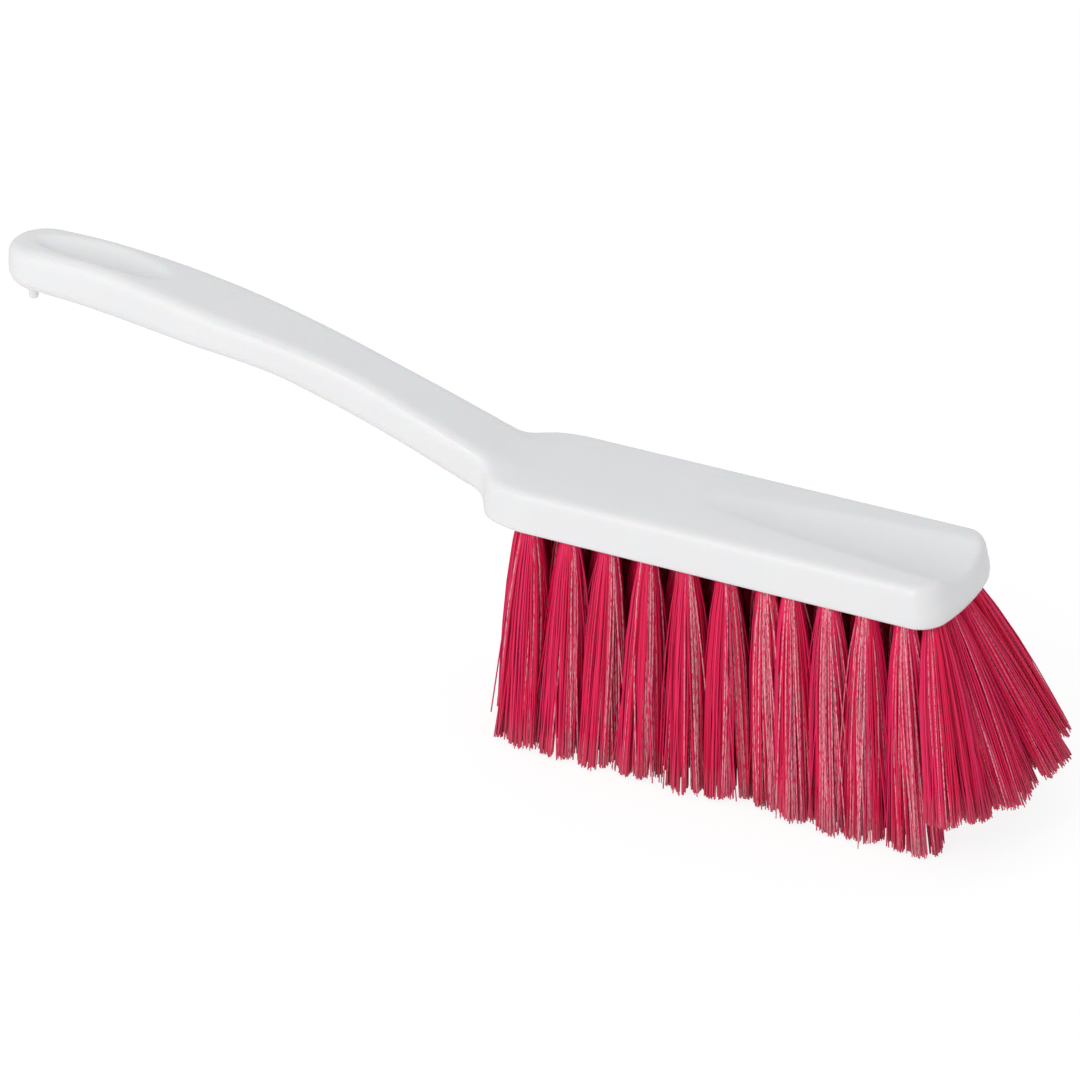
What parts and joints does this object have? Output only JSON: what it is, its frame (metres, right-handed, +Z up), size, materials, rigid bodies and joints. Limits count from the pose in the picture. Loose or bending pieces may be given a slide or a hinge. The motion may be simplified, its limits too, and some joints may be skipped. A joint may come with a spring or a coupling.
{
  "type": "hand broom",
  "caption": "Hand broom: a white moulded block and curved handle in one piece, with red bristle tufts set in the block and fanned out at the nose",
  "frame": {"origin": "on the surface that the bristle tips stand on, under the middle of the bounding box", "axes": "+X runs from the handle's end to the nose along the broom's length, +Y runs across the block to its far side, +Z is up from the bristle tips to the block's back"},
  "size_m": [0.3782, 0.0849, 0.1268],
  "materials": {
    "white_polypropylene": "satin",
    "red_bristle": "satin"
  },
  "bodies": {
    "root": {"block_and_handle": "white_polypropylene", "near_tuft_01": "red_bristle", "near_tuft_02": "red_bristle", "near_tuft_03": "red_bristle", "near_tuft_04": "red_bristle", "near_tuft_05": "red_bristle", "near_tuft_06": "red_bristle", "near_tuft_07": "red_bristle", "near_tuft_08": "red_bristle", "near_tuft_09": "red_bristle", "near_tuft_10": "red_bristle", "near_tuft_11": "red_bristle", "inner_near_tuft_01": "red_bristle", "inner_near_tuft_02": "red_bristle", "inner_near_tuft_03": "red_bristle", "inner_near_tuft_04": "red_bristle", "inner_near_tuft_05": "red_bristle", "inner_near_tuft_06": "red_bristle", "inner_near_tuft_07": "red_bristle", "inner_near_tuft_08": "red_bristle", "inner_near_tuft_09": "red_bristle", "inner_near_tuft_10": "red_bristle", "inner_near_tuft_11": "red_bristle", "inner_far_tuft_01": "red_bristle", "inner_far_tuft_02": "red_bristle", "inner_far_tuft_03": "red_bristle", "inner_far_tuft_04": "red_bristle", "inner_far_tuft_05": "red_bristle", "inner_far_tuft_06": "red_bristle", "inner_far_tuft_07": "red_bristle", "inner_far_tuft_08": "red_bristle", "inner_far_tuft_09": "red_bristle", "inner_far_tuft_10": "red_bristle", "inner_far_tuft_11": "red_bristle", "far_tuft_01": "red_bristle", "far_tuft_02": "red_bristle", "far_tuft_03": "red_bristle", "far_tuft_04": "red_bristle", "far_tuft_05": "red_bristle", "far_tuft_06": "red_bristle", "far_tuft_07": "red_bristle", "far_tuft_08": "red_bristle", "far_tuft_09": "red_bristle", "far_tuft_10": "red_bristle", "far_tuft_11": "red_bristle", "nose_tuft_1": "red_bristle", "nose_tuft_2": "red_bristle", "nose_tuft_3": "red_bristle", "nose_tuft_4": "red_bristle"}
  },
  "joints": []
}
